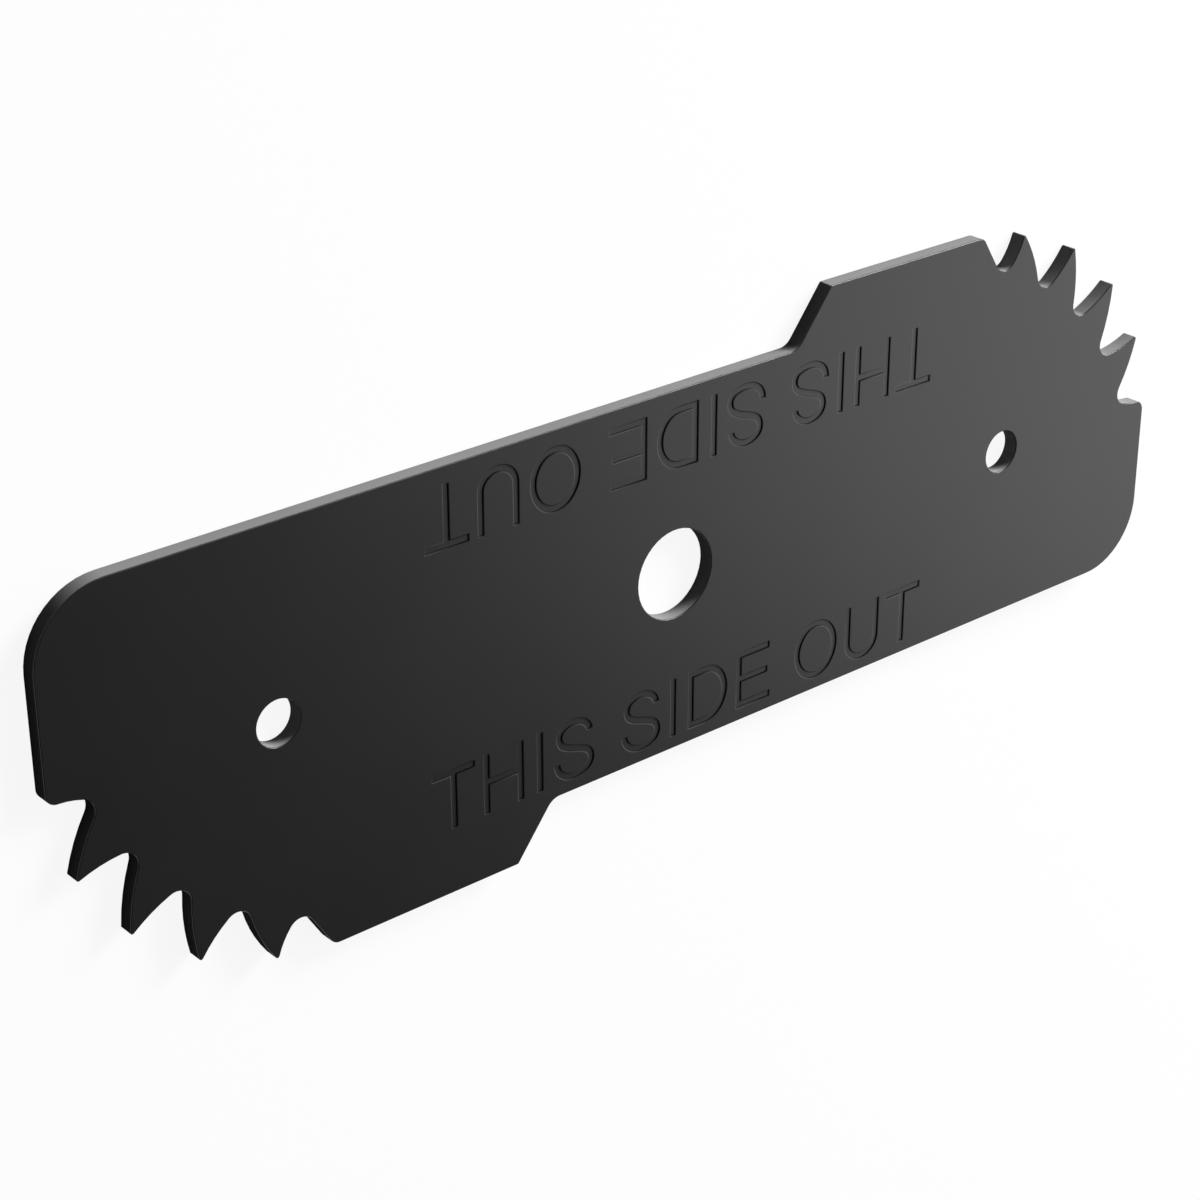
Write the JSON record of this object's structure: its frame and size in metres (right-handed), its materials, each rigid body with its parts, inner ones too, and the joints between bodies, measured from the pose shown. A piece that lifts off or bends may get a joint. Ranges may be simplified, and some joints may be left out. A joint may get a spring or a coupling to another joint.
{
  "type": "lawn edger blade",
  "caption": "Flat steel lawn edger blade: a plain waist, an offset toothed ear at each end, a central arbor hole and a bolt hole near each end.",
  "frame": {"origin": "on the axis of the arbor hole, in the plain back face that the blade lies on", "axes": "+X along the blade, +Z out of the engraved outer face, +Y across the blade towards the ear at the +X end"},
  "size_m": [0.1906, 0.068, 0.0024],
  "materials": {
    "black_finish": "satin black coating on steel"
  },
  "bodies": {
    "root": {"blade": "black_finish"}
  },
  "joints": []
}
